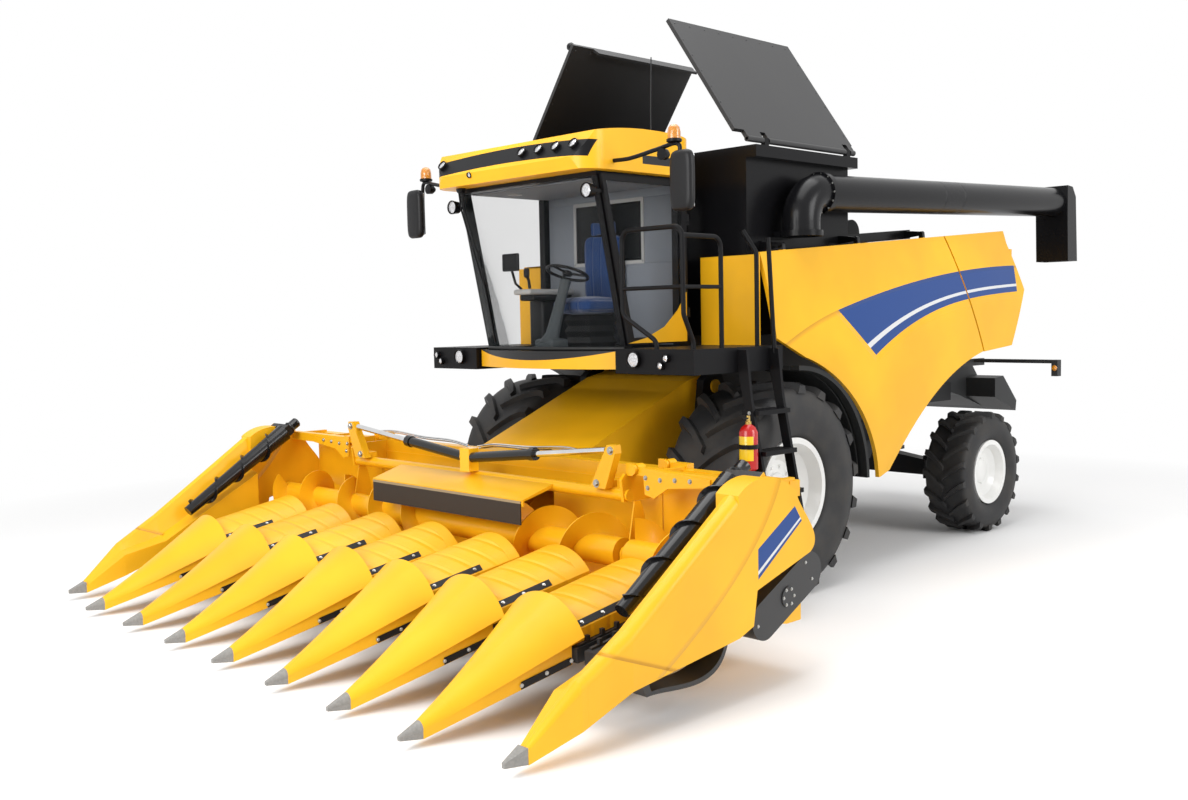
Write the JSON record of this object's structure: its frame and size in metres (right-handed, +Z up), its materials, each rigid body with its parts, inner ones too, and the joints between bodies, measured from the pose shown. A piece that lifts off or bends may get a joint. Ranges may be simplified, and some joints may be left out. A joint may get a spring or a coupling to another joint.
{
  "type": "combine harvester with folding maize header",
  "caption": "Self-propelled combine harvester with a folding maize header, glazed cab, open grain tank covers, swinging unloading auger and steered rear axle.",
  "frame": {"origin": "on the floor under the middle of the machine's box", "axes": "+X to the machine's left, +Y to its rear, +Z up; it drives towards -Y"},
  "size_m": [6.3, 10.02, 5.0162],
  "materials": {
    "yellow": "gloss",
    "shell_yellow": "gloss",
    "black": "satin",
    "dark_grey": "satin",
    "grey_plastic": "matte",
    "cast_grey": "matte",
    "tyre": "matte",
    "white": "gloss",
    "chrome": "polished",
    "glass": "polished",
    "fabric": "woven",
    "red": "gloss",
    "rubber": "matte"
  },
  "bodies": {
    "chassis": {"main_frame": "dark_grey", "front_axle": "dark_grey", "rear_axle": "dark_grey", "threshing_body": "dark_grey", "engine": "black", "grain_tank": "black", "cab_frame": "black", "cab_glass": "glass", "cab_roof": "yellow", "front_panels": "yellow", "operator_seat": "fabric", "steering_column": "grey_plastic", "cab_platform": "black", "ladder_rails": "black", "extinguisher": "red", "mirrors": "black", "front_fenders": "grey_plastic", "rear_hood": "shell_yellow", "straw_chopper": "dark_grey"},
    "header": {"feeder_house": "yellow", "centre_frame": "yellow", "centre_hoods": "shell_yellow", "centre_row_units": "cast_grey", "mouth_flap": "rubber", "fold_cylinders": "black", "fold_rods": "chrome"},
    "centre_auger": {"centre_auger": "yellow"},
    "unload_auger": {"unload_auger": "black"},
    "cab_door": {"door_frame": "black", "door_glass": "glass"},
    "tie_rod": {"tie_rod": "dark_grey"},
    "left_front_wheel": {"left_front_tyre": "tyre", "left_front_rim": "white"},
    "left_rear_wheel": {"left_rear_tyre": "tyre", "left_rear_rim": "white"},
    "left_knuckle": {"left_rear_knuckle": "dark_grey"},
    "left_wing": {"left_wing_frame": "yellow", "left_wing_hoods": "shell_yellow", "left_wing_row_units": "cast_grey"},
    "left_wing_auger": {"left_wing_auger": "yellow"},
    "left_cone_auger": {"left_cone_auger": "rubber"},
    "left_lift_barrel": {"left_lift_barrel": "black"},
    "left_lift_rod": {"left_lift_rod": "chrome"},
    "left_tank_cover": {"left_tank_cover": "black"},
    "left_side_panel": {"left_side_panel": "shell_yellow"},
    "right_front_wheel": {"right_front_tyre": "tyre", "right_front_rim": "white"},
    "right_rear_wheel": {"right_rear_tyre": "tyre", "right_rear_rim": "white"},
    "right_knuckle": {"right_rear_knuckle": "dark_grey"},
    "right_wing": {"right_wing_frame": "yellow", "right_wing_hoods": "shell_yellow", "right_wing_row_units": "cast_grey"},
    "right_wing_auger": {"right_wing_auger": "yellow"},
    "right_cone_auger": {"right_cone_auger": "rubber"},
    "right_lift_barrel": {"right_lift_barrel": "black"},
    "right_lift_rod": {"right_lift_rod": "chrome"},
    "right_tank_cover": {"right_tank_cover": "black"},
    "right_side_panel": {"right_side_panel": "shell_yellow"}
  },
  "joints": [
    {"name": "left_front_wheel_spin", "type": "hinge", "parent": "chassis", "child": "left_front_wheel", "pos_m": [1.38, -0.55, 0.92], "axis": [1, 0, 0], "continuous": true},
    {"name": "left_steer", "type": "hinge", "parent": "chassis", "child": "left_knuckle", "pos_m": [0.9, 3.3, 0.655], "axis": [0, 0, 1], "range_deg": [-35, 35]},
    {"name": "left_rear_wheel_spin", "type": "hinge", "parent": "left_knuckle", "child": "left_rear_wheel", "pos_m": [1.28, 3.3, 0.655], "axis": [1, 0, 0], "continuous": true},
    {"name": "left_wing_fold", "type": "hinge", "parent": "header", "child": "left_wing", "pos_m": [1.82, -2.45, 1.32], "axis": [0, 1, 0], "range_deg": [-160, 0]},
    {"name": "left_wing_auger_turn", "type": "hinge", "parent": "left_wing", "child": "left_wing_auger", "pos_m": [2.4, -2.7, 0.72], "axis": [1, 0, 0], "continuous": true},
    {"name": "left_cone_auger_turn", "type": "hinge", "parent": "left_wing", "child": "left_cone_auger", "pos_m": [2.845, -2.78, 1.34], "axis": [0, 0.842, 0.5395], "continuous": true},
    {"name": "left_lift_barrel_turn", "type": "hinge", "parent": "chassis", "child": "left_lift_barrel", "pos_m": [0.5, -0.61, 0.69], "axis": [-1, 0, 0], "range_deg": [-1, 24]},
    {"name": "left_lift_rod_slide", "type": "slide", "parent": "left_lift_barrel", "child": "left_lift_rod", "axis": [0, -0.993, -0.1184], "range_m": [-0.005, 0.42]},
    {"name": "left_cover_tilt", "type": "hinge", "parent": "chassis", "child": "left_tank_cover", "pos_m": [1.38, -0.05, 3.9], "axis": [0, 1, 0], "range_deg": [-55, 0]},
    {"name": "left_panel_lift", "type": "hinge", "parent": "chassis", "child": "left_side_panel", "pos_m": [1.48, -0.74, 2.985], "axis": [0, -0.9971, -0.0762], "range_deg": [0, 70]},
    {"name": "right_front_wheel_spin", "type": "hinge", "parent": "chassis", "child": "right_front_wheel", "pos_m": [-1.38, -0.55, 0.92], "axis": [1, 0, 0], "continuous": true},
    {"name": "right_steer", "type": "hinge", "parent": "chassis", "child": "right_knuckle", "pos_m": [-0.9, 3.3, 0.655], "axis": [0, 0, 1], "range_deg": [-35, 35]},
    {"name": "right_rear_wheel_spin", "type": "hinge", "parent": "right_knuckle", "child": "right_rear_wheel", "pos_m": [-1.28, 3.3, 0.655], "axis": [1, 0, 0], "continuous": true},
    {"name": "right_wing_fold", "type": "hinge", "parent": "header", "child": "right_wing", "pos_m": [-1.82, -2.45, 1.32], "axis": [0, -1, 0], "range_deg": [-160, 0]},
    {"name": "right_wing_auger_turn", "type": "hinge", "parent": "right_wing", "child": "right_wing_auger", "pos_m": [-2.4, -2.7, 0.72], "axis": [1, 0, 0], "continuous": true},
    {"name": "right_cone_auger_turn", "type": "hinge", "parent": "right_wing", "child": "right_cone_auger", "pos_m": [-2.845, -2.78, 1.34], "axis": [0, 0.842, 0.5395], "continuous": true},
    {"name": "right_lift_barrel_turn", "type": "hinge", "parent": "chassis", "child": "right_lift_barrel", "pos_m": [-0.5, -0.61, 0.69], "axis": [-1, 0, 0], "range_deg": [-1, 24]},
    {"name": "right_lift_rod_slide", "type": "slide", "parent": "right_lift_barrel", "child": "right_lift_rod", "axis": [0, -0.993, -0.1184], "range_m": [-0.005, 0.42]},
    {"name": "right_cover_tilt", "type": "hinge", "parent": "chassis", "child": "right_tank_cover", "pos_m": [-1.38, -0.05, 3.9], "axis": [0, -1, 0], "range_deg": [-55, 0]},
    {"name": "right_panel_lift", "type": "hinge", "parent": "chassis", "child": "right_side_panel", "pos_m": [-1.48, -0.74, 2.985], "axis": [0, 0.9971, 0.0762], "range_deg": [0, 70]},
    {"name": "tie_rod_swing", "type": "hinge", "parent": "left_knuckle", "child": "tie_rod", "pos_m": [0.9, 3.56, 0.573], "axis": [0, 0, 1], "range_deg": [-36, 36]},
    {"name": "header_lift", "type": "hinge", "parent": "chassis", "child": "header", "pos_m": [0, -0.5, 1.78], "axis": [-1, 0, 0], "range_deg": [0, 20]},
    {"name": "centre_auger_turn", "type": "hinge", "parent": "header", "child": "centre_auger", "pos_m": [0, -2.7, 0.72], "axis": [1, 0, 0], "continuous": true},
    {"name": "unload_swing", "type": "hinge", "parent": "chassis", "child": "unload_auger", "pos_m": [1.49, -0.12, 3.14], "axis": [0, 0, -1], "range_deg": [0, 95]},
    {"name": "door_swing", "type": "hinge", "parent": "chassis", "child": "cab_door", "pos_m": [0.912, -0.972, 2.4], "axis": [0, 0, 1], "range_deg": [0, 70]}
  ],
  "couplings": [
    {"joint": "left_wing_auger_turn", "follows": "centre_auger_turn", "ratio": 1},
    {"joint": "left_lift_barrel_turn", "follows": "header_lift", "ratio": 1.0576},
    {"joint": "left_lift_rod_slide", "follows": "header_lift", "m_per_rad": 1.0873},
    {"joint": "right_wing_auger_turn", "follows": "centre_auger_turn", "ratio": 1},
    {"joint": "right_lift_barrel_turn", "follows": "header_lift", "ratio": 1.0576},
    {"joint": "right_lift_rod_slide", "follows": "header_lift", "m_per_rad": 1.0873},
    {"joint": "right_steer", "follows": "left_steer", "ratio": 1},
    {"joint": "tie_rod_swing", "follows": "left_steer", "ratio": -1}
  ]
}
